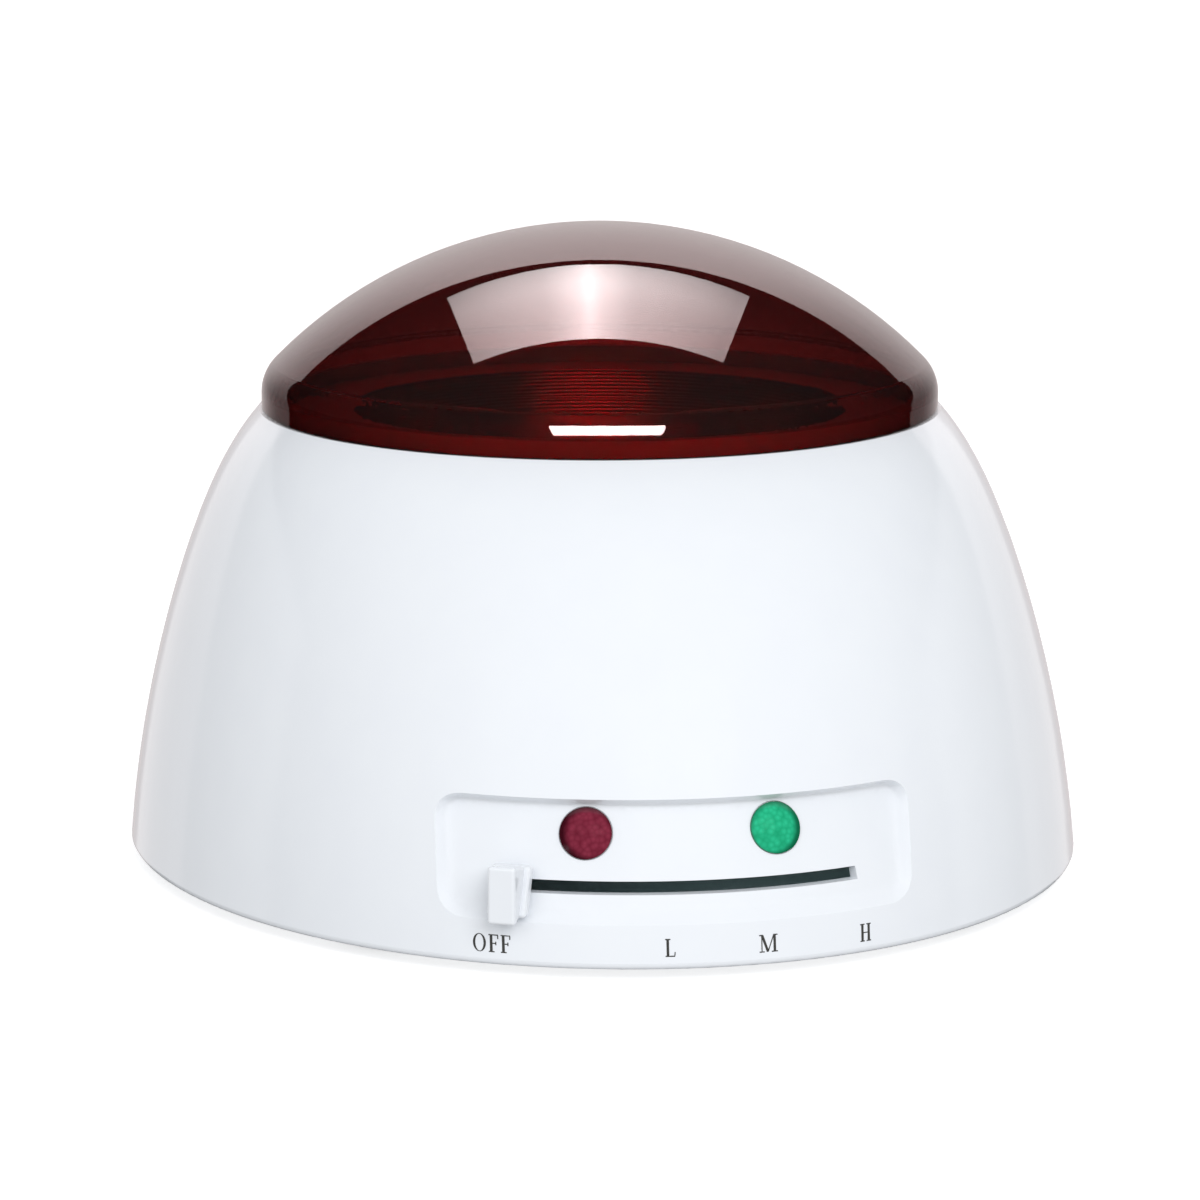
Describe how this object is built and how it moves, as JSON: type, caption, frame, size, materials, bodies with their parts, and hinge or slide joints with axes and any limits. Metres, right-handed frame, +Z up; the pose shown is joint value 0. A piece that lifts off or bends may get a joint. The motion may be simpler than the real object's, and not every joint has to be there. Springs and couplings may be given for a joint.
{
  "type": "wax warmer",
  "caption": "Egg-shaped glossy white wax warmer with a heated aluminium pot, a lift-off see-through ruby dome lid, indicator lenses and a slide lever for the heat setting.",
  "frame": {"origin": "on the floor under the middle of the whole object's plan, between the front lip and the cord inlet", "axes": "+Z up out of the pot, -Y towards the user (the control panel), +X to the right for a user who faces the front, towards the H end of the slot"},
  "size_m": [0.2048, 0.2338, 0.1364],
  "materials": {
    "white_plastic": "moulded white plastic, glossy",
    "base_plastic": "moulded white plastic, satin",
    "ruby_plastic": "see-through dark ruby plastic, polished",
    "foot_rubber": "moulded rubber",
    "silicone": "white silicone",
    "pot_aluminium": "spun aluminium",
    "steel": "zinc-plated steel",
    "brass": "plain brass",
    "ceramic": "unglazed steatite",
    "red_lens": "see-through red plastic",
    "green_lens": "see-through green plastic",
    "bulb_glass": "clear glass",
    "grey_plastic": "moulded nylon",
    "block_plastic": "moulded nylon",
    "wire_brown": "silicone insulation",
    "wire_blue": "silicone insulation",
    "lead_sleeve": "woven glass sleeve"
  },
  "bodies": {
    "housing": {"bar_screws": "steel", "base_plate": "base_plastic", "base_screws": "steel", "block_screw": "steel", "bulb_green": "bulb_glass", "bulb_red": "bulb_glass", "bush_nut": "steel", "clamp_nut": "steel", "clamp_screw": "steel", "cord_gland": "grey_plastic", "front_left_foot": "foot_rubber", "front_right_foot": "foot_rubber", "fuse_clip": "steel", "fuse_wire": "wire_brown", "gland_nut": "grey_plastic", "heater_band": "steel", "heater_clamp": "steel", "heater_terminals": "brass", "heater_wire": "wire_brown", "heating_pot": "pot_aluminium", "hold_down_bar": "steel", "hold_down_nut": "steel", "housing_shell": "white_plastic", "lamp_lead_green": "lead_sleeve", "lamp_lead_red": "lead_sleeve", "lens_clips": "steel", "lens_green": "green_lens", "lens_red": "red_lens", "pot_gasket": "silicone", "pot_stud": "steel", "rear_left_foot": "foot_rubber", "rear_right_foot": "foot_rubber", "return_wire": "wire_blue", "supply_wire": "wire_brown", "switched_wire": "wire_brown", "terminal_block": "block_plastic", "terminal_screws": "brass", "thermal_fuse": "brass", "thermostat_blades": "brass", "thermostat_body": "ceramic", "thermostat_bush": "brass"},
    "lid": {"lid": "ruby_plastic"},
    "control": {"thermostat_spindle": "steel", "control_lever": "steel", "lever_screw": "steel", "slider_knob": "white_plastic"}
  },
  "joints": [
    {"name": "lid_lift", "type": "slide", "parent": "housing", "child": "lid", "axis": [0, 0, 1], "range_m": [0, 0.12]},
    {"name": "control_swing", "type": "hinge", "parent": "housing", "child": "control", "pos_m": [0, -0.03117, 0.0182], "axis": [0, 0, 1], "range_deg": [0, 49.3]}
  ]
}
